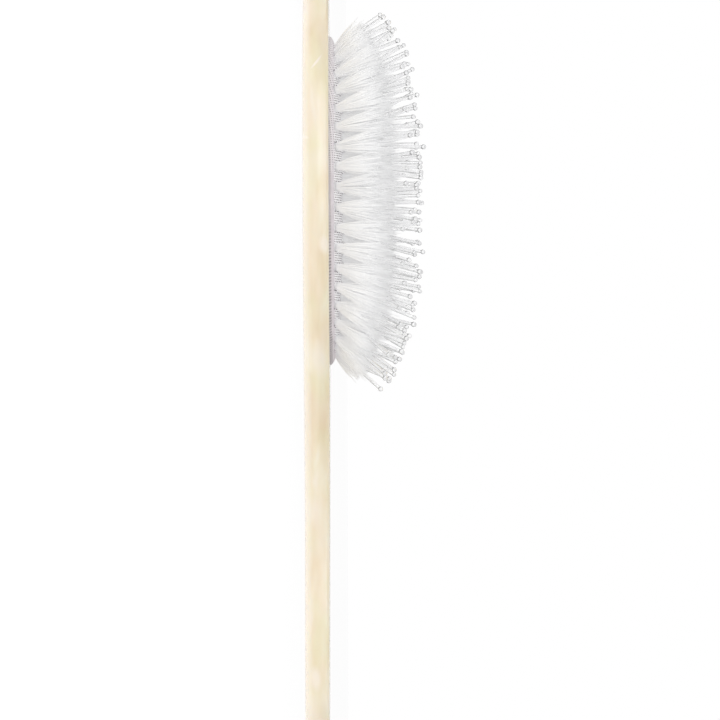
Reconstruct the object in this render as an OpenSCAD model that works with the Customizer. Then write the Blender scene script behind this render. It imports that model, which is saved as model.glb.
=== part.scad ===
// Detangling brush: a flat plate with a handle, an air-cushioned oval pad let
// into its head, and rows of nylon tufts set through the pad.
// The brush lies on its back: +X runs to the tip of the head, +Z to the
// bristles, and the back of the plate lies on Z = 0.

/* [Plate] */
// Length of the plate, from the end of the handle to the tip of the head
plate_l = 226; // [200:1:250]
// Thickness of the plate's head
plate_t = 7.5; // [7:0.1:10]
// Thickness of the plate at the end of the handle
handle_t = 7; // [6.4:0.1:9]
// Rim of plate beside the pad
side_rim = 6.5; // [5:0.5:10]
// Plate beyond the pad, at the tip of the head
tip_rim = 16; // [8:0.5:20]
// Width of the neck, where the handle is narrowest
neck_w = 24; // [16:0.5:28]
// Distance from the pad to the neck
neck_run = 42; // [30:1:50]
// Width of the grip, near the end of the handle
grip_w = 32; // [24:0.5:36]
// Length over which the end of the handle is rounded
end_round = 16; // [10:0.5:24]
// Radius along the edge of the back face
back_edge_r = 2.2; // [1:0.1:2.6]
// Radius along the edge of the front face
front_edge_r = 1.1; // [0.6:0.1:1.6]
// Bulge of the plate's edge between the two radii
edge_crown = 0.25; // [0.1:0.05:0.4]

/* [Pocket] */
// Depth of the pocket under the pad
pocket_depth = 5; // [4.8:0.1:5.6]
// Thickness of the lip that holds the pad down
lip_t = 1.4; // [1:0.1:1.6]
// How far the pad's flange reaches under the lip
flange_reach = 1.9; // [1.4:0.1:2.4]
// Thickness of the pad's flange
flange_t = 1.5; // [1:0.1:1.8]

/* [Pad] */
// Length of the pad at the face of the plate
pad_l = 98.4; // [88:0.2:108]
// Width of the pad at the face of the plate
pad_w = 52.5; // [48:0.5:60]
// Height of the pad's crown above the plate
pad_h = 4.8; // [4.4:0.1:6.5]
// Thickness of the rubber membrane
rubber_t = 1.6; // [1.2:0.1:2]
// Thickness of the woven facing
facing_t = 0.35; // [0.25:0.05:0.5]
// Radius of the air vent through the pad
vent_r = 0.7; // [0.5:0.05:0.8]

/* [Tufts] */
// Distance from the edge of the pad to its outer tufts
edge_gap = 3.4; // [3.2:0.1:4.4]
// Place along the pad, from its middle, where the tufts stand upright
upright_x = 9; // [0:0.5:14]
// Lean of the last tufts along the brush, in degrees
lean_along = 36; // [20:1:40]
// Lean of the outer tufts across the brush, in degrees
lean_across = 26; // [10:1:30]
// Radius of a tuft's bound root
root_r = 1.25; // [1.1:0.05:1.3]
// Length of the long ball-ended pin in a tuft, at the middle of the pad
pin_l = 24; // [20:0.5:28]
// Loss of length from the middle of the pad to its ends
end_trim = 6.5; // [4:0.5:9]
// Radius of the long pin
pin_r = 0.42; // [0.3:0.01:0.44]
// Radius of the ball on the long pin
ball_r = 0.75; // [0.55:0.01:0.8]
// Radius of the strands that stand for the short filaments
strand_r = 0.36; // [0.28:0.01:0.38]
// Distance from the pin to the tips of the short strands
strand_spread = 2; // [1.4:0.1:2.1]
// Radius of the wire pin that anchors a tuft behind the pad
anchor_r = 0.3; // [0.2:0.02:0.34]
// Length of the wire pin
anchor_l = 4.4; // [3.6:0.1:4.6]

/* [Hidden] */
// Columns of tufts along the pad. Between each two stands a staggered column,
// and a row is a column with the staggered one beside it.
columns = 18;
rows = columns - 1;

// Clearances of the fits, and the overrun of every cut
mouth_gap = 0.15;
groove_gap = 0.1;
hole_gap = 0.12;
anchor_gap = 0.05;
cut_over = 1;

// Exponents of the outlines and of the pad's crown, where 2 is an ellipse
oval_power = 2.5;
tip_power = 2.3;
end_power = 2.4;
shoulder_power = 2.2;
neck_power = 2;
crown_power = 3;

// Counts of the flat steps in each smooth surface
plate_steps = 120;
edge_steps = 4;
pad_steps = 48;
crown_steps = 7;
round_fn = 24;

// Places that follow from the sizes
tip_x = plate_l / 2;
end_x = -plate_l / 2;
pad_x = tip_x - tip_rim - pad_l / 2;
head_w = pad_w + 2 * side_rim;
neck_x = pad_x - pad_l / 2 - neck_run;
front_z = plate_t;
flange_z = front_z - lip_t - groove_gap;

// Tuft layout. The columns crowd together a little towards the ends.
tuft_reach_l = pad_l / 2 - edge_gap;
tuft_reach_w = pad_w / 2 - edge_gap;
crowding_share = 0.113;
lean_power = 1.4;
trim_power = 4;
vent_row = 13;

// Shares of the pin's length at which the short strands bend and end
strand_length_share = 0.64;
strand_bend_share = 0.5;
bend_spread_share = 0.45;

// How a tuft's root lies in the pad, measured along the tuft
root_out = 0.5;
strand_sink = 0.3;
anchor_slack = 0.8;
anchor_depth = rubber_t + facing_t + anchor_slack + anchor_r;
root_end = 0.4;
root_in = anchor_depth + anchor_r + root_end;
strand_root_r = 0.86;
strand_tip_share = 0.85;
ball_neck_share = 0.95;
ball_tip_share = 0.4;

acetate = [0.95, 0.90, 0.79];
weave_grey = [0.84, 0.82, 0.83];
rubber_grey = [0.72, 0.71, 0.72];
nylon = [0.95, 0.95, 0.95];
steel = [0.70, 0.70, 0.72];

function smooth(t) = let (c = min(max(t, 0), 1)) c * c * (3 - 2 * c);
function signed_power(v, p) = sign(v) * pow(abs(v), p);

// Half width of the plate at a place along it
function head_half(u) = head_w / 2 * pow(1 - pow(u, tip_power), 1 / tip_power);
function shoulder_half(u) =
    (neck_w + (head_w - neck_w) * pow(1 - pow(u, shoulder_power), neck_power)) / 2;
function grip_half(x) =
    (neck_w + (grip_w - neck_w) * smooth((neck_x - x) / (neck_x - end_x - end_round))) / 2;
function end_share(x) =
    x - end_x >= end_round ? 1
    : pow(1 - pow(1 - (x - end_x) / end_round, end_power), 1 / end_power);
function plate_half(x) =
    x >= pad_x ? head_half(min((x - pad_x) / (tip_x - pad_x), 1))
    : x >= neck_x ? shoulder_half((pad_x - x) / (pad_x - neck_x))
    : grip_half(x) * end_share(max(x, end_x));

// Share of the head's thickness at a place along the plate. The front face
// slopes down evenly from the rear of the pocket to the end of the handle.
mouth_rear_x = pad_x - pad_l / 2 - mouth_gap;
function thickness_share(x) =
    1 - (1 - handle_t / plate_t) * max(mouth_rear_x - x, 0) / (mouth_rear_x - end_x);

// Outline of the plate, anticlockwise, and the same outline drawn in by a step
plate_outline = [
    for (i = [0 : plate_steps - 1])
        let (turn = 360 * i / plate_steps, x = tip_x * cos(turn))
            [x, sign(sin(turn)) * plate_half(x)]
];
function outward(line, i) =
    let (
        n = len(line),
        along = line[(i + 1) % n] - line[(i + n - 1) % n]
    )
    [along.y, -along.x] / norm(along);
function drawn_in(line, step) = [for (i = [0 : len(line) - 1]) line[i] - step * outward(line, i)];

// Height, at the head, and inset of each level of the plate's rounded edge
plate_levels = concat(
    [
        for (k = [0 : edge_steps])
            let (turn = 90 * k / edge_steps)
                [back_edge_r * (1 - cos(turn)), edge_crown + back_edge_r * (1 - sin(turn))]
    ],
    [[(back_edge_r + plate_t - front_edge_r) / 2, 0]],
    [
        for (k = [edge_steps : -1 : 0])
            let (turn = 90 * k / edge_steps)
                [
                    plate_t - front_edge_r * (1 - cos(turn)),
                    edge_crown + front_edge_r * (1 - sin(turn))
                ]
    ]
);

// Side faces between stacked rings of n points each, from the first point on
function band_faces(rings, n, first = 0) = [
    for (r = [0 : rings - 2], j = [0 : n - 1])
        let (a = first + r * n + j, b = first + r * n + (j + 1) % n)
            each [[a, b, b + n], [a, b + n, a + n]]
];
function turned_over(faces) = [for (f = faces) [f[2], f[1], f[0]]];

function reversed(list) = [for (i = [len(list) - 1 : -1 : 0]) list[i]];

// Point of the pad's oval, drawn out by a step beyond its edge
function oval_point(size_share, step, turn) = [
    (size_share * pad_l / 2 + step) * signed_power(cos(turn), 2 / oval_power),
    (size_share * pad_w / 2 + step) * signed_power(sin(turn), 2 / oval_power)
];

// Step beyond the pad's oval and height of each level of the pocket, from its
// mouth down to its floor. The groove in its wall holds the pad's flange.
groove_step = mouth_gap + flange_reach + groove_gap;
groove_top = flange_z + groove_gap;
groove_floor = flange_z - flange_t - groove_gap;
pocket_levels = [
    [mouth_gap, front_z],
    [mouth_gap, groove_top],
    [groove_step, groove_top],
    [groove_step, groove_floor],
    [mouth_gap, groove_floor],
    [mouth_gap, front_z - pocket_depth]
];

// Back face, in strips across the plate from one side of the outline to the other
half_steps = plate_steps / 2;
back_faces = concat(
    [[0, 1, plate_steps - 1]],
    [for (j = [1 : half_steps - 2]) [j, j + 1, plate_steps - j - 1, plate_steps - j]],
    [[half_steps - 1, half_steps, half_steps + 1]]
);

// Front face, zipped between the plate's edge and the pocket's mouth, one side
// after the other. A point of the head's edge is joined to the last point of the
// mouth that it has turned past, and a point of the handle to the mouth's rear.
half_mouth = pad_steps / 2;
front_line = drawn_in(plate_outline, plate_levels[len(plate_levels) - 1][1]);
function turn_about_pad(p) = atan2(p.y, p.x - pad_x);
mouth_turns = [
    for (j = [0 : half_mouth])
        turn_about_pad([pad_x, 0] + oval_point(1, mouth_gap, 360 * j / pad_steps))
];
function mouth_points_passed(j) =
    front_line[j].x < mouth_rear_x ? half_mouth
    : len([for (turn = mouth_turns) if (turn <= turn_about_pad(front_line[j])) turn]) - 1;
function round_index(i, n) = (i + n) % n;
function front_faces(edge, mouth) = [
    for (side = [1, -1], j = [0 : half_steps - 1])
        let (
            this = edge + round_index(side * j, plate_steps),
            next = edge + round_index(side * (j + 1), plate_steps),
            passed = mouth_points_passed(j),
            zipped = concat(
                [[this, next, mouth + round_index(side * passed, pad_steps)]],
                [
                    for (i = [passed : 1 : mouth_points_passed(j + 1) - 1])
                        [
                            next,
                            mouth + round_index(side * (i + 1), pad_steps),
                            mouth + round_index(side * i, pad_steps)
                        ]
                ]
            )
        )
            each side > 0 ? zipped : turned_over(zipped)
];

// One closed skin: up the rounded edge, over the front face, and down the pocket
module handle_plate() {
    edge_points = [
        for (level = plate_levels, p = drawn_in(plate_outline, level[1]))
            [p.x, p.y, level[0] * thickness_share(p.x)]
    ];
    pocket_points = [
        for (level = pocket_levels, j = [0 : pad_steps - 1])
            let (p = oval_point(1, level[0], 360 * j / pad_steps))
                [pad_x + p.x, p.y, level[1]]
    ];
    mouth = len(edge_points);
    floor_first = mouth + len(pocket_points) - pad_steps;
    skin = concat(
        band_faces(len(plate_levels), plate_steps),
        front_faces(mouth - plate_steps, mouth),
        band_faces(len(pocket_levels), pad_steps, mouth)
    );
    pocket_floor = [[for (j = [pad_steps - 1 : -1 : 0]) floor_first + j]];
    color(acetate)
        polyhedron(
            points = concat(edge_points, pocket_points),
            faces = concat(back_faces, turned_over(skin), pocket_floor)
        );
}

// Share of the crown's height at a share of the way from its centre to its edge
function crown_share(s) = sqrt(max(1 - pow(s, crown_power), 0));
function oval_radius(x, y) =
    pow(
        pow(abs(x) / (pad_l / 2), oval_power) + pow(abs(y) / (pad_w / 2), oval_power),
        1 / oval_power
    );
function crown_z(x, y) = front_z + pad_h * crown_share(oval_radius(x, y));

// Rings of a domed surface that lies a depth below the pad's outer face. A
// ring is its share of the oval, its step beyond that share, and its height.
crown_shares = [for (k = [1 : crown_steps]) sin(90 * k / crown_steps)];
function dome_rings(depth) = [
    for (s = crown_shares)
        [s, -depth * s, front_z + (pad_h - depth) * crown_share(s)]
];

// Closed skin from a point on the pad's axis, out over the rings and back
module oval_skin(rings, top_z, bottom_z) {
    n = pad_steps;
    last = (len(rings) - 1) * n;
    skin = [
        for (ring = rings, j = [0 : n - 1])
            let (p = oval_point(ring[0], ring[1], 360 * j / n))
                [pad_x + p.x, p.y, ring[2]]
    ];
    top = last + n;
    bottom = top + 1;
    fans = [
        for (j = [0 : n - 1])
            let (k = (j + 1) % n)
                each [[top, k, j], [bottom, last + j, last + k]]
    ];
    polyhedron(
        points = concat(skin, [[pad_x, 0, top_z], [pad_x, 0, bottom_z]]),
        faces = concat(fans, band_faces(len(rings), n))
    );
}

// Where the columns stand. Column 0 is nearest the tip of the head, and a
// staggered column lies half a step on from a whole one. The second staggered
// column from each end has two tufts, for want of room.
function column_x(i) =
    let (u = 1 - 2 * i / (columns - 1))
        tuft_reach_l * u * (1 + crowding_share * (1 - u * u));
function oval_half(i) =
    tuft_reach_w
        * pow(max(1 - pow(abs(column_x(i)) / tuft_reach_l, oval_power), 0), 1 / oval_power);
function inner_column(i) = min(max(i, 1), columns - 2);
function column_half(i) =
    (oval_half(inner_column(floor(i))) + oval_half(inner_column(ceil(i)))) / 2;
function column_quarters(i) =
    i == floor(i) ? [-4, -2, 0, 2, 4]
    : i == 1.5 || i == columns - 2.5 ? [-1, 1]
    : [-3, -1, 1, 3];
function column_ys(i) =
    i == 0 || i == columns - 1 ? [0]
    : [for (quarter = column_quarters(i)) column_half(i) * quarter / 4];
function column_tufts(i) = [for (y = column_ys(i)) [column_x(i), y]];

// Tufts of a row, counted from 1. The last row ends in the last column.
function row_tufts(k) = concat(
    column_tufts(k - 1),
    column_tufts(k - 0.5),
    k == rows ? column_tufts(columns - 1) : []
);

// A tuft's own frame: on the pad's face, with +Z out along the tuft
function lean_x(x) =
    let (reach = x > upright_x ? tuft_reach_l - upright_x : tuft_reach_l + upright_x)
        lean_along * signed_power((x - upright_x) / reach, lean_power);
function lean_y(y) = lean_across * signed_power(y / tuft_reach_w, lean_power);
module at_tuft(place) {
    translate([pad_x + place.x, place.y, crown_z(place.x, place.y)])
        rotate([-lean_y(place.y), lean_x(place.x), 0])
            children();
}

module tuft_holes() {
    for (k = [1 : rows], place = row_tufts(k))
        at_tuft(place)
            translate([0, 0, -root_in])
                cylinder(r = root_r + hole_gap, h = root_in + pad_h, $fn = round_fn);
}

module vent_hole() {
    translate([pad_x + column_x(vent_row - 0.5), 0, front_z])
        cylinder(r = vent_r, h = pad_h + cut_over, $fn = round_fn);
}

module cushion_pad() {
    inner = facing_t + rubber_t;
    flange = [
        [1, -facing_t, flange_z],
        [1, flange_reach, flange_z],
        [1, flange_reach, flange_z - flange_t],
        [1, -inner, flange_z - flange_t]
    ];
    color(rubber_grey)
        difference() {
            oval_skin(
                concat(dome_rings(facing_t), flange, reversed(dome_rings(inner))),
                front_z + pad_h - facing_t,
                front_z + pad_h - inner
            );
            tuft_holes();
            vent_hole();
        }
}

module cushion_facing() {
    hem_z = flange_z + groove_gap;
    color(weave_grey)
        difference() {
            oval_skin(
                concat(
                    dome_rings(0),
                    [[1, 0, hem_z], [1, -facing_t, hem_z]],
                    reversed(dome_rings(facing_t))
                ),
                front_z + pad_h,
                front_z + pad_h - facing_t
            );
            tuft_holes();
            vent_hole();
        }
}

// A three-sided strand through rings given as [distance out, height, radius]
module strand(rings) {
    sides = 3;
    points = [
        for (ring = rings, j = [0 : sides - 1])
            let (turn = 360 * j / sides)
                [ring[0] + ring[2] * cos(turn), ring[2] * sin(turn), ring[1]]
    ];
    last = (len(rings) - 1) * sides;
    walls = turned_over(band_faces(len(rings), sides));
    ends = [[0, 1, 2], [last + 2, last + 1, last]];
    polyhedron(points = points, faces = concat(walls, ends));
}

module ball_pin(length) {
    strand([
        [0, root_out - strand_sink, pin_r],
        [0, length - 2 * ball_r, pin_r * ball_neck_share],
        [0, length - ball_r, ball_r],
        [0, length, ball_r * ball_tip_share]
    ]);
}

module short_strand(length) {
    spread = strand_spread - strand_root_r;
    strand([
        [strand_root_r, root_out - strand_sink, strand_r],
        [strand_root_r + spread * bend_spread_share, length * strand_bend_share, strand_r],
        [strand_spread, length, strand_r * strand_tip_share]
    ]);
}

// The cross bore of a root and the wire pin in it share this place
module anchor_cylinder(radius, length) {
    translate([0, 0, -anchor_depth])
        rotate([90, 0, 0])
            cylinder(r = radius, h = length, center = true, $fn = round_fn);
}

module tuft(length) {
    difference() {
        translate([0, 0, -root_in])
            cylinder(r = root_r, h = root_in + root_out, $fn = round_fn);
        anchor_cylinder(anchor_r + anchor_gap, 2 * (root_r + cut_over));
    }
    ball_pin(length);
    for (turn = [0, 180])
        rotate([0, 0, turn])
            short_strand(length * strand_length_share);
}

function tuft_length(x) = pin_l - end_trim * pow(abs(x) / tuft_reach_l, trim_power);

module tuft_row(k) {
    color(nylon)
        for (place = row_tufts(k))
            at_tuft(place)
                tuft(tuft_length(place.x));
}

module anchor_pins(k) {
    color(steel)
        for (place = row_tufts(k))
            at_tuft(place)
                anchor_cylinder(anchor_r, anchor_l);
}

handle_plate();
cushion_pad();
cushion_facing();
for (k = [1 : rows]) {
    tuft_row(k);
    anchor_pins(k);
}
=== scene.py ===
import math

import bpy
import numpy as np
from mathutils import Matrix, Vector
from mathutils.geometry import delaunay_2d_cdt


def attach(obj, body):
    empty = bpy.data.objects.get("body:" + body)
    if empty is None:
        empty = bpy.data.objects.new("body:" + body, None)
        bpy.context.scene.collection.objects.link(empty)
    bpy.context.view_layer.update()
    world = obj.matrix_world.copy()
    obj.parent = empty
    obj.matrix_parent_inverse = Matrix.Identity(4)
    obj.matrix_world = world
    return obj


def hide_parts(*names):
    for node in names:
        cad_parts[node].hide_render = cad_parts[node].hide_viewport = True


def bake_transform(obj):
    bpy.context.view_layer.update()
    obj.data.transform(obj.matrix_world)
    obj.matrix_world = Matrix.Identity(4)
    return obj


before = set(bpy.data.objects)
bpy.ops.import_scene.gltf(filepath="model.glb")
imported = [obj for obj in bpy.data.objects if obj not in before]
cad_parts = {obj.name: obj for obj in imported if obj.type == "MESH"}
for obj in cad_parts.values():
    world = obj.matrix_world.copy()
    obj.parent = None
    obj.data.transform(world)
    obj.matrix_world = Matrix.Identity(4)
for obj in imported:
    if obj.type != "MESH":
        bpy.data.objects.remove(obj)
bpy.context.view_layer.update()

# The brush's sizes are in millimetres, as in the part's source, and its meshes are made in metres.
MM = 0.001

# The plate
PLATE_L = 226
PLATE_T = 7.5
HANDLE_T = 7
HEAD_W = 65.5
NECK_W = 24
GRIP_W = 32
END_ROUND = 16
BACK_EDGE_R = 2.2
FRONT_EDGE_R = 1.1
EDGE_CROWN = 0.25
TIP_X = PLATE_L / 2
END_X = -TIP_X
PAD_X = 47.8
NECK_X = -43.4
TIP_POWER = 2.3
END_POWER = 2.4
SHOULDER_POWER = 2.2

# The pocket, the pad and its facing
PAD_L = 98.4
PAD_W = 52.5
PAD_H = 4.8
OVAL_POWER = 2.5
CROWN_POWER = 3
POCKET_DEPTH = 5
MOUTH_GAP = 0.15
GROOVE_GAP = 0.1
FLANGE_REACH = 1.9
FLANGE_T = 1.5
FLANGE_Z = 6.0
RUBBER_T = 1.6
FACING_T = 0.35
VENT_R = 0.7

# How fine the pad's mesh is, and the rings of points close round each hole
PLAN_RINGS = 26
RIM_COUNT = 240
HOLE_STEPS = 14
ROUND_HOLES = (0, 0.25, 0.6)
CLEAR_OF_HOLES = 0.75

# Small dips of the pad's faces round each tuft, deeper by its rim and shallower on its inner face
DIP = 0.15
RIM_DIP = 0.7
DIP_REACH = 0.9
INNER_DIP_SHARE = 0.25

# The pitch of the mesh along and across, and of the dots round its foot
MESH_PITCH = (0.68, 1.05)
DOT_PITCH = 0.95

# The tufts
COLUMNS = 18
ROWS = COLUMNS - 1
EDGE_GAP = 3.4
UPRIGHT_X = 9
LEAN_ALONG = 36
LEAN_ACROSS = 26
LEAN_POWER = 1.4
CROWDING = 0.113
ROOT_R = 1.25
HOLE_GAP = 0.12
ROOT_IN = 3.75
PIN_L = 24
END_TRIM = 6.5
TRIM_POWER = 4
PIN_R = 0.52
BALL_R = 0.76
REACH_L = PAD_L / 2 - EDGE_GAP
REACH_W = PAD_W / 2 - EDGE_GAP

# The short filaments round each pin, some of which stand out beyond the rest
FILAMENTS = 96
FILAMENT_R = 0.11
FILAMENT_SHARE = 0.59
FILAMENT_SPREAD = 3.8
STANDS_OUT_EVERY = 12
SUNK = 0.9

# A tuft's own way up
UP = np.array([0, 0, 1])

# Pale marks in the plate: middle along and up, half length and height, slant, soft edge, strength
PALE_MARKS = (
    ((88, 4.6), (3.2, 0.42), -0.63, 0.5, 1.0),
    ((65.5, 1.2), (0.6, 1.3), 0.0, 0.6, 0.7),
    ((34.5, 6.8), (3.2, 2.2), 0.1, 0.6, 0.7),
    ((1.5, 4.8), (6.5, 4.5), 0.2, 0.7, 0.65),
    ((-93, 3.6), (4.2, 2.0), 0.1, 0.6, 0.7),
)


def signed_power(value, power):
    return np.sign(value) * np.abs(value) ** power


def smooth(t):
    c = np.clip(t, 0, 1)
    return c * c * (3 - 2 * c)


# Meshes

def mesh_object(name, points, faces):
    """A smooth-shaded mesh object from points in millimetres."""
    mesh = bpy.data.meshes.new(name)
    mesh.from_pydata((np.asarray(points, float) * MM).tolist(), [], [tuple(map(int, f)) for f in faces])
    mesh.validate()
    mesh.update()
    mesh.polygons.foreach_set("use_smooth", [True] * len(mesh.polygons))
    made = bpy.data.objects.new(name, mesh)
    bpy.context.scene.collection.objects.link(made)
    return made


def band(first, second, count):
    """Quads between two rings of the same count, each named by its first point."""
    return [
        (first + j, first + (j + 1) % count, second + (j + 1) % count, second + j)
        for j in range(count)
    ]


def closed_line(first, count):
    """Edges of a closed line of points, named by the first of them."""
    return [(first + j, first + (j + 1) % count) for j in range(count)]


def joined(line, other):
    """Quads between two closed lines, each a list with as many points."""
    return list(zip(line, other, other[1:] + other[:1], line[1:] + line[:1]))


# Outline of the plate

def plate_half(x):
    """Half width of the plate at a place along it."""
    if x >= PAD_X:
        u = min((x - PAD_X) / (TIP_X - PAD_X), 1)
        return HEAD_W / 2 * (1 - u ** TIP_POWER) ** (1 / TIP_POWER)
    if x >= NECK_X:
        u = (PAD_X - x) / (PAD_X - NECK_X)
        return (NECK_W + (HEAD_W - NECK_W) * (1 - u ** SHOULDER_POWER) ** 2) / 2
    grip = NECK_W + (GRIP_W - NECK_W) * float(smooth((NECK_X - x) / (NECK_X - END_X - END_ROUND)))
    past = max(x, END_X) - END_X
    share = 1 if past >= END_ROUND else (1 - (1 - past / END_ROUND) ** END_POWER) ** (1 / END_POWER)
    return grip / 2 * share


def thickness_share(x):
    """Share of the head's thickness at a place along the plate."""
    rear = PAD_X - PAD_L / 2 - MOUTH_GAP
    return 1 - (1 - HANDLE_T / PLATE_T) * np.maximum(rear - x, 0) / (rear - END_X)


def plate_outline(count):
    """Points round the plate, anticlockwise, closer together towards its two ends."""
    line = []
    for j in range(count):
        turn = 2 * math.pi * j / count
        x = TIP_X * math.cos(turn)
        at_an_end = j % (count // 2) == 0
        line.append((x, 0.0 if at_an_end else math.copysign(plate_half(x), math.sin(turn))))
    return np.array(line)


def drawn_in(line, step):
    """A closed line moved inwards by a step."""
    along = np.roll(line, -1, axis=0) - np.roll(line, 1, axis=0)
    outward = np.stack([along[:, 1], -along[:, 0]], axis=1)
    return line - step * outward / np.linalg.norm(outward, axis=1, keepdims=True)


def oval_points(turn, size_share, step):
    """Points of the pad's oval at some turns, drawn out by a step beyond it, in the plate's place."""
    x = (size_share * PAD_L / 2 + step) * signed_power(np.cos(turn), 2 / OVAL_POWER)
    y = (size_share * PAD_W / 2 + step) * signed_power(np.sin(turn), 2 / OVAL_POWER)
    return np.stack([PAD_X + x, y], axis=1)


def oval(size_share, step, count):
    """The same oval at even turns, a whole time round."""
    return oval_points(2 * np.pi * np.arange(count) / count, size_share, step)


def edge_levels():
    """Height and inset of each level of the plate's edge, from the back face to the front."""
    back = [
        (BACK_EDGE_R * (1 - math.cos(a)), EDGE_CROWN + BACK_EDGE_R * (1 - math.sin(a)))
        for a in np.radians(np.linspace(0, 90, 13))
    ]
    low, high = BACK_EDGE_R, PLATE_T - FRONT_EDGE_R
    middle = [
        (low + (high - low) * t, EDGE_CROWN * (2 * t - 1) ** 2)
        for t in np.linspace(0, 1, 9)[1:-1]
    ]
    front = [
        (PLATE_T - FRONT_EDGE_R * (1 - math.cos(a)), EDGE_CROWN + FRONT_EDGE_R * (1 - math.sin(a)))
        for a in np.radians(np.linspace(90, 0, 11))
    ]
    support = 0.06
    return [(0, back[0][1] + support)] + back + middle + front + [(PLATE_T, front[-1][1] + support)]


def pocket_levels():
    """Step beyond the pad's oval and height of each level of the pocket, mouth to floor."""
    lip_round = 0.12
    groove = MOUTH_GAP + FLANGE_REACH + GROOVE_GAP
    top = FLANGE_Z + GROOVE_GAP
    low = FLANGE_Z - FLANGE_T - GROOVE_GAP
    return [
        (MOUTH_GAP + lip_round * 1.5, PLATE_T),
        (MOUTH_GAP + lip_round, PLATE_T),
        (MOUTH_GAP + lip_round * 0.3, PLATE_T - lip_round * 0.3),
        (MOUTH_GAP, PLATE_T - lip_round),
        (MOUTH_GAP, top),
        (groove, top),
        (groove, low),
        (MOUTH_GAP, low),
        (MOUTH_GAP, PLATE_T - POCKET_DEPTH),
    ]


def front_faces(rim, mouth):
    """Triangles from the plate's edge to the pocket's mouth, zipped one side after the other."""
    half_rim, half_mouth = len(rim) // 2, len(mouth) // 2
    mouth_turns = np.arctan2(mouth[:half_mouth + 1, 1], mouth[:half_mouth + 1, 0] - PAD_X)
    rim_turns = np.arctan2(rim[:half_rim + 1, 1], rim[:half_rim + 1, 0] - PAD_X)
    # How far round the mouth each point of the rim has come
    passed = [int((mouth_turns <= turn + 1e-9).sum()) - 1 for turn in rim_turns]
    passed = [half_mouth if rim[j, 0] < mouth[:, 0].min() else i for j, i in enumerate(passed)]
    triangles = []
    for side in (1, -1):
        for j in range(half_rim):
            here, after = side * j % len(rim), side * (j + 1) % len(rim)
            zipped = [[(True, here), (True, after), (False, side * passed[j] % len(mouth))]]
            for i in range(passed[j], passed[j + 1]):
                inner = (False, side * (i + 1) % len(mouth)), (False, side * i % len(mouth))
                zipped.append([(True, after), *inner])
            triangles += zipped if side > 0 else [t[::-1] for t in zipped]
    return triangles


def make_plate():
    """The marbled plate with its pocket and groove, as one closed skin."""
    count = 480
    mouth_count = 192
    outline = plate_outline(count)
    points, faces = [], []
    levels = edge_levels()
    for z, inset in levels:
        ring = drawn_in(outline, inset)
        points += [(x, y, z * thickness_share(x)) for x, y in ring]
    for k in range(len(levels) - 1):
        faces += band(k * count, (k + 1) * count, count)
    back_face = tuple(range(count - 1, -1, -1))
    faces.append(back_face)

    mouth_first = len(points)
    pocket = pocket_levels()
    for step, z in pocket:
        points += [(x, y, z) for x, y in oval(1, step, mouth_count)]
    for k in range(len(pocket) - 1):
        first = mouth_first + k * mouth_count
        faces += band(first, first + mouth_count, mouth_count)
    floor_first = mouth_first + (len(pocket) - 1) * mouth_count
    faces.append(tuple(floor_first + j for j in range(mouth_count)))

    edge_first = (len(levels) - 1) * count
    rim = np.array(points[edge_first:edge_first + count])
    mouth = np.array(points[mouth_first:mouth_first + mouth_count])
    for triangle in front_faces(rim, mouth):
        faces.append([edge_first + j if on_rim else mouth_first + j for on_rim, j in triangle])
    return mesh_object("acetate_plate", points, faces)


# The domed pad and its facing

def oval_radius(x, y):
    """Share of the way from the pad's middle to its edge, with x from the pad's middle."""
    along = np.abs(x / (PAD_L / 2)) ** OVAL_POWER
    across = np.abs(y / (PAD_W / 2)) ** OVAL_POWER
    return (along + across) ** (1 / OVAL_POWER)


def crown_share(s):
    return np.sqrt(np.maximum(1 - np.abs(s) ** CROWN_POWER, 0))


def crown_z(x, y):
    return PLATE_T + PAD_H * crown_share(oval_radius(x, y))


# Where the tufts stand, as in the part's source

def column_x(i):
    u = 1 - 2 * i / (COLUMNS - 1)
    return REACH_L * u * (1 + CROWDING * (1 - u * u))


def oval_half(i):
    return REACH_W * max(1 - (abs(column_x(i)) / REACH_L) ** OVAL_POWER, 0) ** (1 / OVAL_POWER)


def column_half(i):
    low = min(max(math.floor(i), 1), COLUMNS - 2)
    high = min(max(math.ceil(i), 1), COLUMNS - 2)
    return (oval_half(low) + oval_half(high)) / 2


def column_tufts(i):
    """Places of a column's tufts. Staggered columns are halves, with fewer tufts near both ends."""
    if i in (0, COLUMNS - 1):
        return [(column_x(i), 0.0)]
    quarters = (-4, -2, 0, 2, 4) if i == math.floor(i) else (-3, -1, 1, 3)
    if i in (1.5, COLUMNS - 2.5):
        quarters = (-1, 1)
    return [(column_x(i), column_half(i) * q / 4) for q in quarters]


def row_tufts(k):
    """Tufts of a row, counted from 1. The last row ends in the last column."""
    last = column_tufts(COLUMNS - 1) if k == ROWS else []
    return column_tufts(k - 1) + column_tufts(k - 0.5) + last


def tuft_frame(place):
    """Turn and foot of a tuft, whose own +Z runs out along it."""
    x, y = place
    reach = REACH_L - UPRIGHT_X if x > UPRIGHT_X else REACH_L + UPRIGHT_X
    lean_x = math.radians(LEAN_ALONG * signed_power((x - UPRIGHT_X) / reach, LEAN_POWER))
    lean_y = math.radians(LEAN_ACROSS * signed_power(y / REACH_W, LEAN_POWER))
    turn = Matrix.Rotation(lean_x, 3, "Y") @ Matrix.Rotation(-lean_y, 3, "X")
    foot = np.array([PAD_X + x, y, float(crown_z(x, y))])
    return np.array(turn), foot


def tuft_length(x):
    return PIN_L - END_TRIM * (abs(x) / REACH_L) ** TRIM_POWER


def hole_list():
    """Centre and radius of each hole in the pad, with x from the pad's middle."""
    holes = [(x, y, ROOT_R + HOLE_GAP) for k in range(1, ROWS + 1) for x, y in row_tufts(k)]
    vent = (column_x(12.5), 0.0, VENT_R)
    return holes + [vent]


# The pad's mesh

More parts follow.
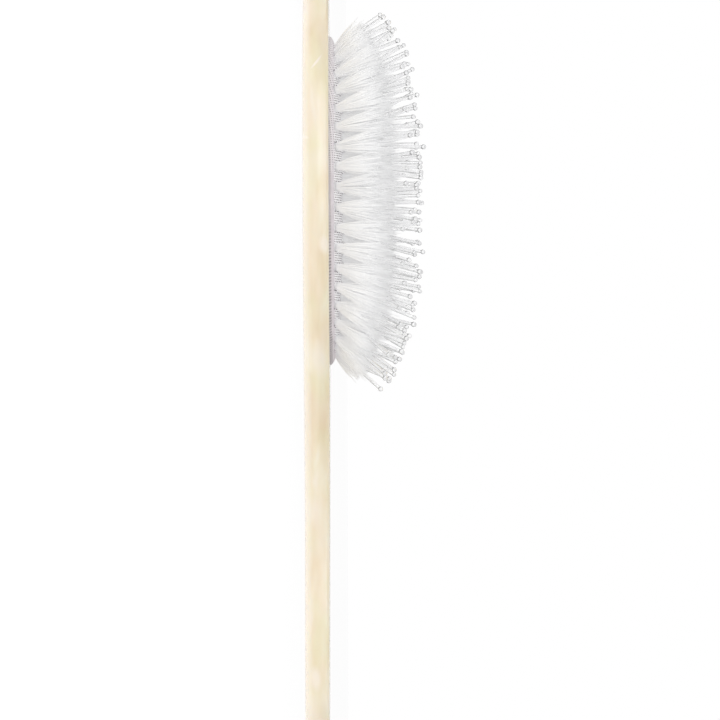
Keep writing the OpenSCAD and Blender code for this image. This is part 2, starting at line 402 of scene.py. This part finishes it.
def plan_rings():
    """Rings of points over the pad's oval, the outer half of them with as many points as its rim."""
    points = []
    for number in range(1, PLAN_RINGS + 1):
        share = math.sin(math.radians(90 * number / PLAN_RINGS))
        count = RIM_COUNT if number > PLAN_RINGS / 2 else RIM_COUNT // 2
        points += [tuple(p) for p in oval(share, 0, count) - np.array([PAD_X, 0])]
    return np.array(points)


def hole_distances(points, holes):
    """Distance of each point from the middle of each hole."""
    return np.hypot(points[:, None, 0] - holes[None, :, 0], points[:, None, 1] - holes[None, :, 1])


def facing_up(flat, triangles):
    """The triangles, all of them anticlockwise when seen from above."""
    a, b, c = (flat[triangles[:, n]] for n in range(3))
    turned = (b[:, 0] - a[:, 0]) * (c[:, 1] - a[:, 1]) - (b[:, 1] - a[:, 1]) * (c[:, 0] - a[:, 0]) < 0
    triangles[turned] = triangles[turned][:, ::-1]
    return triangles


def dome_plan():
    """Points and triangles of the pad seen from above, with its holes."""
    holes = np.array(hole_list())
    rings = plan_rings()
    clear = (hole_distances(rings, holes) > holes[:, 2] + CLEAR_OF_HOLES).all(axis=1)
    clear[-RIM_COUNT:] = True
    plan = [tuple(p) for p in rings[clear]]
    edges = closed_line(len(plan) - RIM_COUNT, RIM_COUNT)
    for x, y, radius in holes:
        edges += closed_line(len(plan), HOLE_STEPS)
        for more in ROUND_HOLES:
            for j in range(HOLE_STEPS):
                a = 2 * math.pi * (j + 0.5 * (more > 0)) / HOLE_STEPS
                plan.append((x + (radius + more) * math.cos(a), y + (radius + more) * math.sin(a)))
    found = delaunay_2d_cdt([Vector(p) for p in plan], edges, [], 0, 1e-6)
    flat = np.array([tuple(p) for p in found[0]])
    triangles = np.array([f for f in found[2] if len(f) == 3])
    middle = flat[triangles].mean(axis=1)
    inside_hole = (hole_distances(middle, holes) < holes[:, 2] * 0.97).any(axis=1)
    inside_oval = oval_radius(middle[:, 0], middle[:, 1]) < 1.0
    return flat, facing_up(flat, triangles[~inside_hole & inside_oval])


def boundary_loops(triangles):
    """Closed loops of the open edges, each in the direction of its triangles."""
    sides = [(int(t[j]), int(t[(j + 1) % 3])) for t in triangles for j in range(3)]
    known = set(sides)
    following = {a: b for a, b in sides if (b, a) not in known}
    loops = []
    while following:
        start, at = next(iter(following.items()))
        loop = [start]
        del following[start]
        while at != start:
            loop.append(at)
            at = following.pop(at)
        loops.append(loop)
    return loops


def pucker(x, y, depth):
    """How far a face dips round the tufts, most of all on the pad's outer side near its rim."""
    share = 1 if depth <= FACING_T else INNER_DIP_SHARE
    dip = np.zeros(len(x))
    for hole_x, hole_y, radius in hole_list():
        away = np.hypot(x - hole_x, y - hole_y)
        near_rim = smooth((oval_radius(hole_x, hole_y) - 0.7) / 0.15)
        deepest = DIP + RIM_DIP * near_rim
        dip = np.maximum(dip, share * deepest * np.exp(-np.maximum(away - radius, 0) / DIP_REACH))
    return dip


def dome_face(flat, depth):
    """The plan raised to the dome that lies a depth below the pad's outer face."""
    x, y = flat[:, 0], flat[:, 1]
    share = oval_radius(x, y)
    z = PLATE_T + (PAD_H - depth) * crown_share(np.minimum(share, 1)) - pucker(x, y, depth)
    z = np.where(share > 0.9999, PLATE_T, z)
    return np.stack([PAD_X + x * (1 - 2 * depth / PAD_L), y * (1 - 2 * depth / PAD_W), z], axis=1)


def dome_shell(name, plan, outer_depth, inner_depth, rim_levels):
    """A closed domed shell with the tufts' holes. The rim's levels are steps and heights."""
    flat, triangles = plan
    n = len(flat)
    outer = dome_face(flat, outer_depth)
    inner = dome_face(flat, inner_depth)
    points = [tuple(p) for p in outer] + [tuple(p) for p in inner]
    faces = [tuple(t) for t in triangles] + [(t[0] + n, t[2] + n, t[1] + n) for t in triangles]
    loops = boundary_loops(triangles)
    rim = max(loops, key=len)
    for loop in loops:
        if loop is not rim:
            faces += [(b, a, a + n, b + n) for a, b in zip(loop, loop[1:] + loop[:1])]

    turn = np.arctan2(
        signed_power(flat[rim, 1] / (PAD_W / 2), OVAL_POWER / 2),
        signed_power(flat[rim, 0] / (PAD_L / 2), OVAL_POWER / 2))
    last = rim
    for step, z in rim_levels:
        ring = list(range(len(points), len(points) + len(rim)))
        points += [(x, y, z) for x, y in oval_points(turn, 1, step)]
        faces += joined(last, ring)
        last = ring
    faces += joined(last, [i + n for i in rim])
    return mesh_object(name, points, faces)


def arc_lengths(x, y):
    """Lengths over the dome from its middle lines, along it and across it."""
    count = 41
    steps = np.linspace(0, 1, count)
    still = np.ones(count)
    lengths = []
    for across in (False, True):
        px = np.outer(x, still if across else steps)
        py = np.outer(y, steps if across else still)
        z = PAD_H * crown_share(np.minimum(oval_radius(px, py), 1))
        moved = np.diff(py if across else px, axis=1)
        run = np.sqrt(moved ** 2 + np.diff(z, axis=1) ** 2).sum(axis=1)
        lengths.append(np.sign(y if across else x) * run)
    return lengths


def rim_run(turn):
    """Length round the pad's rim up to each turn about its middle."""
    ring = oval(1, 0, 720) - np.array([PAD_X, 0])
    steps = np.hypot(*(np.roll(ring, -1, axis=0) - ring).T)
    lengths = np.concatenate([[0], np.cumsum(steps)])
    ring_turn = np.arctan2(ring[:, 1] / PAD_W, ring[:, 0] / PAD_L) % (2 * math.pi)
    return np.interp(turn % (2 * math.pi), np.append(ring_turn, 2 * math.pi), lengths)


def add_weave_map(made):
    """A map of the facing in millimetres of cloth, and how far each point lies round the rim."""
    mesh = made.data
    co = np.empty(len(mesh.vertices) * 3)
    mesh.vertices.foreach_get("co", co)
    co = co.reshape(-1, 3) / MM
    x, y = co[:, 0] - PAD_X, co[:, 1]
    below = np.maximum(PLATE_T - co[:, 2], 0)
    u, v = arc_lengths(x, y)
    turn = np.arctan2(y / PAD_W, x / PAD_L)
    u = u + np.sign(x) * below * np.abs(np.cos(turn))
    v = v + np.sign(y) * below * np.abs(np.sin(turn))
    weave = mesh.uv_layers.new(name="weave")
    corners = np.empty(len(mesh.loops), int)
    mesh.loops.foreach_get("vertex_index", corners)
    weave.data.foreach_set("uv", np.stack([u[corners], v[corners]], axis=1).ravel())
    run = mesh.attributes.new("rim_run", "FLOAT", "POINT")
    run.data.foreach_set("value", rim_run(turn).astype(np.float32))


def make_facing(plan):
    """The woven facing, with a hem that goes down between the pad and the pocket."""
    part_way = 7.1
    foot = FLANGE_Z + GROOVE_GAP
    levels = [(0, part_way), (0, foot), (-FACING_T, foot), (-FACING_T, part_way)]
    made = dome_shell("woven_facing", plan, 0, FACING_T, levels)
    add_weave_map(made)
    return made


def make_pad(plan):
    """The rubber membrane with the flange that sits in the plate's groove."""
    inner = FACING_T + RUBBER_T
    levels = [
        (-FACING_T, FLANGE_Z),
        (FLANGE_REACH, FLANGE_Z),
        (FLANGE_REACH, FLANGE_Z - FLANGE_T),
        (-inner, FLANGE_Z - FLANGE_T),
    ]
    return dome_shell("rubber_pad", plan, FACING_T, inner, levels)


# Filaments and pins

class Strands:
    """Gathers round strands, each given by its centre line and radii."""

    def __init__(self):
        self.points, self.faces, self.ends, self.count = [], [], [], 0

    def add(self, line, radii, sides, twist=0.0):
        """A closed tube along a line of points, with a flat face at each end."""
        line = np.asarray(line, float)
        rings = len(line)
        along = np.gradient(line, axis=0)
        along /= np.linalg.norm(along, axis=1, keepdims=True)
        side = np.cross(along, np.array([0.0, 1.0, 0.0]))
        short = np.linalg.norm(side, axis=1) < 1e-6
        side[short] = (1, 0, 0)
        side /= np.linalg.norm(side, axis=1, keepdims=True)
        other = np.cross(along, side)
        a = twist + 2 * np.pi * np.arange(sides) / sides
        ring = np.cos(a)[None, :, None] * side[:, None, :] + np.sin(a)[None, :, None] * other[:, None, :]
        points = line[:, None, :] + ring * np.asarray(radii)[:, None, None]
        first = self.count
        self.points.append(points.reshape(-1, 3))
        j = np.arange(sides)
        k = (j + 1) % sides
        for r in range(rings - 1):
            low, high = first + r * sides, first + (r + 1) * sides
            self.faces.append(np.stack([low + j, low + k, high + k, high + j], axis=1))
        self.count += rings * sides
        self.ends.append((first, first + (rings - 1) * sides, sides))

    def made(self, name):
        points = np.concatenate(self.points)
        faces = [tuple(f) for f in np.concatenate(self.faces)]
        for low, high, sides in self.ends:
            faces.append(tuple(low + j for j in range(sides - 1, -1, -1)))
            faces.append(tuple(high + j for j in range(sides)))
        return mesh_object(name, points, faces)


def swayed(draw, degrees):
    """A small turn drawn at random, since no two tufts stand quite alike."""
    a, b = np.radians(np.clip(draw.normal(0, degrees, 2), -2 * degrees, 2 * degrees))
    return np.array(Matrix.Rotation(a, 3, "X") @ Matrix.Rotation(b, 3, "Y"))


def filament(draw, length, spread, angle, rho, stands_out):
    """Centre line of a filament, at a share of the way out from the middle of its bundle."""
    out = np.array([math.cos(angle), math.sin(angle), 0])
    root = (ROOT_R - FILAMENT_R - 0.05) * rho
    tip = spread * rho * draw.uniform(0.8, 1.1)
    reach = length * (1.07 - 0.4 * draw.random() ** 1.5) * (1 - 0.07 * rho)
    if stands_out:
        reach *= draw.uniform(1.08, 1.22)
    bow = np.array([draw.normal(0, 0.2), draw.normal(0, 0.2), 0])
    t = np.array([-SUNK / reach, 0, 0.25, 0.5, 0.75, 1])
    risen = np.maximum(t, 0)
    return (
        np.outer(root + (tip - root) * risen ** 0.85, out)
        + np.outer(reach * t, UP)
        + np.outer(np.sin(np.pi * risen * 0.75), bow)
    )


def make_filaments(k, draw):
    """The bundles of fine filaments of a row, each widening from its bound root."""
    strands = Strands()
    golden_turn = math.pi * (3 - math.sqrt(5))
    radii = FILAMENT_R * np.array([1, 1, 1, 0.97, 0.9, 0.6])
    plug = np.array([[0, 0, z] for z in (-ROOT_IN, -ROOT_IN + 0.3, -SUNK - 0.3, -SUNK + 0.1)])
    plug_radii = np.array([0.8, 1, 1, 0.9]) * ROOT_R
    for place in row_tufts(k):
        turn, foot = tuft_frame(place)
        turn = turn @ swayed(draw, 1.2)
        length = tuft_length(place[0]) * FILAMENT_SHARE * draw.uniform(0.88, 1.1)
        spread = FILAMENT_SPREAD * draw.uniform(0.92, 1.08)
        spin = draw.uniform(0, 2 * math.pi)
        for i in range(FILAMENTS):
            rho = math.sqrt((i + 0.5) / FILAMENTS)
            stands_out = i % STANDS_OUT_EVERY == 0
            line = filament(draw, length, spread, spin + i * golden_turn, rho, stands_out)
            strands.add(line @ turn.T + foot, radii, 5, draw.uniform(0, 2))
        strands.add(plug @ turn.T + foot, plug_radii, 24)
    return strands.made(f"filaments_{k}")


def pin_profile(length, ball_r):
    """Heights and radii up a pin, from under the facing to the top of its ball."""
    neck_r = PIN_R * 0.96
    heights = [-0.3, *np.linspace(0, length - 2.1 * ball_r, 8)]
    radii = [PIN_R] * 8 + [neck_r]
    for a in np.radians(np.linspace(35, 90, 5)):
        heights.append(length - ball_r - ball_r * math.cos(a) * 0.98)
        radii.append(max(ball_r * math.sin(a), neck_r))
    for a in np.radians(np.linspace(15, 85, 6)):
        heights.append(length - ball_r + ball_r * math.sin(a))
        radii.append(ball_r * math.cos(a))
    return np.array(heights), radii


def make_pins(k, draw):
    """The long clear pins of a row, one in each tuft, with a ball on the end."""
    strands = Strands()
    for place in row_tufts(k):
        turn, foot = tuft_frame(place)
        turn = turn @ swayed(draw, 2.2)
        length = tuft_length(place[0]) * draw.uniform(0.9, 1.02)
        ball_r = BALL_R * draw.uniform(0.85, 1.1)
        bow = np.array([draw.normal(0, 0.55), draw.normal(0, 0.55), 0])
        heights, radii = pin_profile(length, ball_r)
        t = np.clip(heights / length, 0, 1)
        line = np.outer(heights, UP) + np.outer(np.sin(np.pi * t * 1.3), bow)
        strands.add(line @ turn.T + foot, radii, 14)
    return strands.made(f"pins_{k}")


# Materials

class Nodes:
    """Short calls that add and link the shader nodes of a material or a world."""

    def __init__(self, owner):
        owner.use_nodes = True
        self.owner = owner
        self.tree = owner.node_tree
        self.shader = self.tree.nodes.get("Principled BSDF") or self.tree.nodes["Background"]

    def feed(self, socket, value):
        """Links another node's socket to this one, or sets this one to a plain value."""
        if isinstance(value, bpy.types.NodeSocket):
            self.tree.links.new(value, socket)
        else:
            socket.default_value = value

    def add(self, kind, inputs=None, **settings):
        node = self.tree.nodes.new("ShaderNode" + kind)
        for key, value in settings.items():
            setattr(node, key, value)
        for key, value in (inputs or {}).items():
            self.feed(node.inputs[key], value)
        return node

    def math(self, operation, *values):
        return self.add("Math", dict(enumerate(values)), operation=operation).outputs[0]

    def wave(self, value, pitch):
        return self.math("SINE", self.math("MULTIPLY", value, 2 * math.pi / pitch))

    def fade(self, value, places, levels):
        """A level that runs evenly between two places, and stays the same beyond them."""
        return self.add("MapRange", dict(enumerate((value, *places, *levels)))).outputs[0]

    def mix(self, share, first, second, **settings):
        """The first colour with a share of the second."""
        inputs = {"Fac": share, "Color1": first, "Color2": second}
        return self.add("MixRGB", inputs, **settings).outputs[0]

    def place(self):
        return self.add("TexCoord").outputs["Object"]

    def scaled(self, place, offset, scale):
        return self.add("Mapping", {"Vector": place, "Location": offset, "Scale": scale}).outputs[0]

    def noise(self, place, **inputs):
        return self.add("TexNoise", {"Vector": place, **inputs}).outputs[0]

    def ramp(self, factor, stops):
        """A colour ramp, with each stop its place and its linear colour."""
        node = self.tree.nodes.new("ShaderNodeValToRGB")
        while len(node.color_ramp.elements) < len(stops):
            node.color_ramp.elements.new(0.5)
        for element, (place, colour) in zip(node.color_ramp.elements, stops):
            element.position = place
            element.color = (*colour, 1)
        self.tree.links.new(factor, node.inputs["Fac"])
        return node.outputs["Color"]

    def set(self, **values):
        for key, value in values.items():
            self.shader.inputs[key.replace("_", " ")].default_value = value

    def link(self, socket, name):
        self.tree.links.new(socket, self.shader.inputs[name])


def linear(*colour):
    """A colour of 0 to 255 as the shader takes it."""
    return tuple((c / 255 / 12.92) if c <= 10 else ((c / 255 + 0.055) / 1.055) ** 2.4 for c in colour)


def solid(*colour):
    return (*linear(*colour), 1)


def grey(level):
    return (level, level, level)


def new_material(name):
    return Nodes(bpy.data.materials.new(name))


def spot(n, place, centre, size, slant):
    """Share of the way out from the middle of a slanting spot that runs across the plate."""
    across = 1000
    local = n.add("Mapping", {
        "Vector": place,
        "Location": (centre[0] * MM, 0, centre[1] * MM),
        "Rotation": (0, slant, 0),
        "Scale": (size[0] * MM, across, size[1] * MM),
    }, vector_type="TEXTURE")
    return n.add("VectorMath", {0: local.outputs[0]}, operation="LENGTH").outputs["Value"]


def acetate_material():
    """Cream acetate, marbled along the plate, with some pale marks and a painted highlight that makes it
    paler towards the back face.
    """
    n = new_material("marbled_acetate")
    place = n.place()
    rise = n.add("SeparateXYZ", {0: place}).outputs[2]
    stretched = n.scaled(place, (0.9, 0.3, 0.35), (45, 120, 230))
    warp = n.add("TexNoise", {"Vector": stretched, "Scale": 0.7, "Detail": 2.0}).outputs["Color"]
    moved = n.add("VectorMath", {0: stretched, 1: warp}, operation="ADD").outputs[0]
    cloud = n.noise(moved, Scale=1.0, Detail=2.0, Roughness=0.45)
    marbled = n.ramp(cloud, [
        (0.30, linear(238, 222, 190)),
        (0.45, linear(243, 229, 200)),
        (0.58, linear(247, 235, 210)),
        (0.72, linear(251, 242, 225)),
    ])

    drift = n.noise(n.scaled(place, (1.7, 0.2, 0.6), (70, 70, 160)), Scale=1.0, Detail=1.0)
    olive_to_peach = n.ramp(drift, [(0.38, (0.975, 1.0, 0.955)), (0.62, (1.0, 0.975, 0.985))])
    tinted = n.mix(1.0, marbled, olive_to_peach, blend_type="MULTIPLY")
    broad = n.noise(n.scaled(place, (3.1, 0.4, 0.2), (60, 60, 90)), Scale=1.0, Detail=1.0)
    patches = n.ramp(broad, [(0.58, grey(0)), (0.74, grey(0.4))])
    colour = n.mix(patches, tinted, solid(253, 243, 232))

    shaken = n.add("VectorMath", {0: warp, 1: (2 * MM, 0, 1 * MM)}, operation="MULTIPLY").outputs[0]
    wavy = n.add("VectorMath", {0: place, 1: shaken}, operation="ADD").outputs[0]
    for centre, size, slant, edge, strength in PALE_MARKS:
        away = spot(n, wavy, centre, size, slant)
        colour = n.mix(n.fade(away, (1 - edge, 1.0), (strength, 0.0)), colour, solid(254, 243, 230))

    # Painted highlight: the plate is paler over its lowest few millimetres, by the back face and the back
    # edge's rounding, standing in for bright light on that edge.
    uneven_rise = n.math("MULTIPLY_ADD", cloud, 1.4 * MM, rise)
    painted_back_highlight = n.fade(uneven_rise, (0.9 * MM, 2.9 * MM), (0.78, 0.0))
    n.link(n.mix(painted_back_highlight, colour, solid(252, 246, 239)), "Base Color")
    n.link(n.math("MULTIPLY_ADD", cloud, 0.16, 0.24), "Roughness")
    n.set(IOR=1.49, Coat_Weight=0.8, Coat_Roughness=0.1,
          Subsurface_Weight=0.2, Subsurface_Radius=(1.0, 0.85, 0.6), Subsurface_Scale=1.5 * MM)
    return n.owner


def facing_material():
    """Pale open mesh above a bound edge, which on the handle's half is smooth with a dotted foot. The
    dots hold painted shade, a painted shadow line runs along the foot by the plate, and the facing has a
    faint painted glow.
    """
    n = new_material("woven_facing")
    cloth = n.add("UVMap", uv_map="weave").outputs[0]
    cloth_parts = n.add("SeparateXYZ", {0: cloth}).outputs
    place_parts = n.add("SeparateXYZ", {0: n.place()}).outputs
    along, rise = place_parts[0], place_parts[2]

    waves = [n.wave(cloth_parts[axis], pitch) for axis, pitch in enumerate(MESH_PITCH)]
    threads = n.math("MULTIPLY_ADD", n.math("MAXIMUM", *waves), 0.5, 0.5)
    mesh = n.ramp(threads, [
        (0.50, linear(120, 114, 118)),
        (0.62, linear(240, 235, 238)),
        (0.74, linear(255, 254, 254)),
    ])
    bound = n.ramp(n.noise(cloth, Scale=0.35, Detail=3.0), [
        (0.35, linear(208, 201, 205)),
        (0.65, linear(218, 211, 215)),
    ])
    above_edge = n.fade(rise, (8.8 * MM, 9.3 * MM), (0.0, 1.0))
    woven_edge = n.fade(along, (52 * MM, 60 * MM), (0.0, 0.35))
    plain = n.mix(n.math("MAXIMUM", above_edge, woven_edge), bound, mesh)

    run = n.add("Attribute", attribute_name="rim_run").outputs["Fac"]
    dots = n.math("ADD", n.wave(run, DOT_PITCH), n.math("MULTIPLY", n.wave(rise, 0.8 * MM), 0.6))
    dots_top = n.fade(along, (9 * MM, 0.0), (8.1 * MM, 9.4 * MM))
    dots_there = n.fade(along, (50 * MM, 30 * MM), (0.0, 1.0))
    dotted = n.math("MULTIPLY", n.math("LESS_THAN", rise, dots_top), n.math("GREATER_THAN", dots, 0.1))
    # The dots are holes in the hem's weave. Their darkness is painted shade and is deepest near the
    # plate.
    dot_hole_shade = n.math("MULTIPLY", dots_there, n.fade(rise, (8.0 * MM, 8.5 * MM), (0.62, 0.2)))
    # Painted shadow: a faint dark line along the facing's foot where it meets the plate, stronger towards
    # the handle.
    seam_shadow_strength = n.fade(along, (78 * MM, 62 * MM), (0.06, 0.2))
    painted_seam_shadow = n.math("MULTIPLY", n.math("LESS_THAN", rise, 8 * MM), seam_shadow_strength)
    dots_and_painted_shade = n.math("MAXIMUM", n.math("MULTIPLY", dotted, dot_hole_shade), painted_seam_shadow)
    colour = n.mix(dots_and_painted_shade, plain, solid(58, 52, 48))
    n.link(colour, "Base Color")
    # Painted light: the facing glows faintly in its own colour, standing in for the light that the white
    # nylon above it passes on.
    n.link(colour, "Emission Color")

    height = n.math("MULTIPLY", threads, above_edge)
    bump = n.add("Bump", {"Strength": 0.4, "Distance": 0.1 * MM, "Height": height})
    n.link(bump.outputs[0], "Normal")
    n.set(Roughness=0.7, Sheen_Weight=0.25, Sheen_Roughness=0.4, Emission_Strength=0.16)
    return n.owner


def add_grain(n, scale, dark, light):
    """Gives the colour a fine even grain, which is also returned."""
    grain = n.noise(n.place(), Scale=scale, Detail=2.0)
    n.link(n.ramp(grain, [(0.3, linear(*dark)), (0.7, linear(*light))]), "Base Color")
    return grain


def rubber_material():
    n = new_material("pad_rubber")
    add_grain(n, 900.0, (196, 191, 194), (208, 204, 207))
    n.set(Roughness=0.6)
    return n.owner


def filament_material():
    """White nylon, whose faint glow stands in for the light that fibres pass on to each other."""
    n = new_material("white_nylon")
    add_grain(n, 420.0, (250, 250, 251), (254, 254, 254))
    n.set(Roughness=0.5, IOR=1.53, Specular_IOR_Level=0.3,
          Emission_Color=(1, 1, 1, 1), Emission_Strength=0.11)
    return n.owner


def pin_material():
    """Clear nylon, with a very faint glow."""
    n = new_material("clear_nylon")
    add_grain(n, 300.0, (246, 246, 247), (253, 253, 253))
    n.set(Roughness=0.05, IOR=1.53, Transmission_Weight=0.9,
          Emission_Color=(1, 1, 1, 1), Emission_Strength=0.03)
    return n.owner


def steel_material():
    """Drawn steel wire, for the anchor pins behind the pad."""
    n = new_material("drawn_steel")
    grain = add_grain(n, 2500.0, (186, 186, 190), (206, 206, 210))
    n.link(n.math("MULTIPLY_ADD", grain, 0.2, 0.25), "Roughness")
    n.set(Metallic=1.0)
    return n.owner


def clothe(made, material):
    made.data.materials.clear()
    made.data.materials.append(material)


# Room, light and camera

def make_floor():
    """A plain pale floor that is seen only from above, and keeps the brush's shadow."""
    half = 3.0
    z = -0.1 * MM
    mesh = bpy.data.meshes.new("floor")
    corners = [(-half, -half, z), (half, -half, z), (half, half, z), (-half, half, z)]
    mesh.from_pydata(corners, [], [(0, 1, 2, 3)])
    floor = bpy.data.objects.new("floor", mesh)
    bpy.context.scene.collection.objects.link(floor)
    n = new_material("pale_floor")
    n.tree.nodes.remove(n.shader)
    matt = n.add("BsdfDiffuse", {"Color": (*grey(0.75), 1)}).outputs[0]
    glow = n.add("Emission", {"Color": (*grey(1), 1), "Strength": 0.42}).outputs[0]
    lit = n.add("AddShader", {0: matt, 1: glow}).outputs[0]
    clear = n.add("BsdfTransparent").outputs[0]
    from_below = n.add("NewGeometry").outputs["Backfacing"]
    one_sided = n.add("MixShader", {0: from_below, 1: lit, 2: clear}).outputs[0]
    n.tree.links.new(one_sided, n.tree.nodes["Material Output"].inputs["Surface"])
    mesh.materials.append(n.owner)


def make_world():
    """White behind the brush, and a soft room whose corners look dark in clear and glossy things."""
    world = bpy.data.worlds.new("studio")
    bpy.context.scene.world = world
    n = Nodes(world)
    way = n.add("SeparateXYZ", {0: n.add("TexCoord").outputs["Generated"]}).outputs
    tilt = n.math("ADD", n.math("MULTIPLY", way["X"], 0.06), n.math("MULTIPLY_ADD", way["Z"], -0.35, 0.6))
    even = n.ramp(tilt, [(0.1, grey(0.63)), (0.9, grey(0.97))])
    ahead, aside, upright = (n.math("ABSOLUTE", way[axis]) for axis in "XYZ")
    # Upright ways count for more, so that steep views meet no dark corner
    nearest_wall = n.math("MAXIMUM", n.math("MULTIPLY", upright, 1.25), n.math("MAXIMUM", ahead, aside))
    dark_corners = n.ramp(nearest_wall, [(0.82, grey(0.06)), (0.92, grey(1.0))])
    path = n.add("LightPath").outputs
    glossy_or_clear = n.math("MAXIMUM", path["Is Glossy Ray"], path["Is Transmission Ray"])
    light = n.mix(glossy_or_clear, even, dark_corners)
    n.link(n.mix(path["Is Camera Ray"], light, (*grey(1), 1)), "Color")


def make_lamp(name, place, target, size, power):
    light = bpy.data.lights.new(name, "AREA")
    light.shape = "SQUARE"
    light.size = size
    light.energy = power
    lamp = bpy.data.objects.new(name, light)
    bpy.context.scene.collection.objects.link(lamp)
    lamp.location = place
    lamp.rotation_mode = "QUATERNION"
    lamp.rotation_quaternion = (Vector(target) - Vector(place)).to_track_quat("-Z", "Y")


def make_camera():
    """Level with the brush, beside it, and rolled so that the head is at the top."""
    distance = 0.9
    span = 0.216
    camera_data = bpy.data.cameras.new("camera")
    camera_data.sensor_width = 36
    camera_data.lens = camera_data.sensor_width * distance / span
    camera_data.clip_start = 0.05
    camera_data.clip_end = 20
    camera = bpy.data.objects.new("camera", camera_data)
    bpy.context.scene.collection.objects.link(camera)
    camera.rotation_mode = "QUATERNION"
    roll = math.radians(0.2)
    c, s = math.cos(roll), math.sin(roll)
    camera.rotation_quaternion = Matrix(((-s, c, 0), (0, 0, 1), (c, s, 0))).to_quaternion()
    camera.location = (0.1 * MM, distance, 16.4 * MM)
    bpy.context.scene.camera = camera


# The brush

def dress_plate():
    plate = make_plate()
    clothe(plate, acetate_material())
    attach(plate, "plate")
    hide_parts("handle_plate")


def dress_cushion():
    """The facing and the pad, which take the place of the part's cushion nodes."""
    plan = dome_plan()
    for made, material, slot, node, still_to in (
        (make_facing(plan), facing_material(), "woven_facing", "cushion_facing", 6.3),
        (make_pad(plan), rubber_material(), "rubber", "cushion_pad", 5.9),
    ):
        clothe(made, material)
        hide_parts(node)
        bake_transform(made)


def dress_rows():
    """The filaments and pins of each row, and the steel of the wire pins behind them."""
    draw = np.random.default_rng(7)
    white = filament_material()
    clear = pin_material()
    steel = steel_material()
    for k in range(1, ROWS + 1):
        filaments = make_filaments(k, draw)
        clothe(filaments, white)
        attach(filaments, f"row_{k}")
        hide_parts(f"tuft_row_{k}")
        pins = make_pins(k, draw)
        clothe(pins, clear)
        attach(pins, f"row_{k}")
        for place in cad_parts[f"anchor_pins_{k}"].material_slots:
            place.material = steel


make_camera()
make_world()
make_floor()
make_lamp("key", place=(0.35, 0.95, 0.1), target=(0.03, 0, 0.015), size=0.6, power=1.6)
dress_plate()
dress_cushion()
dress_rows()

bpy.context.scene.view_settings.view_transform = "Standard"
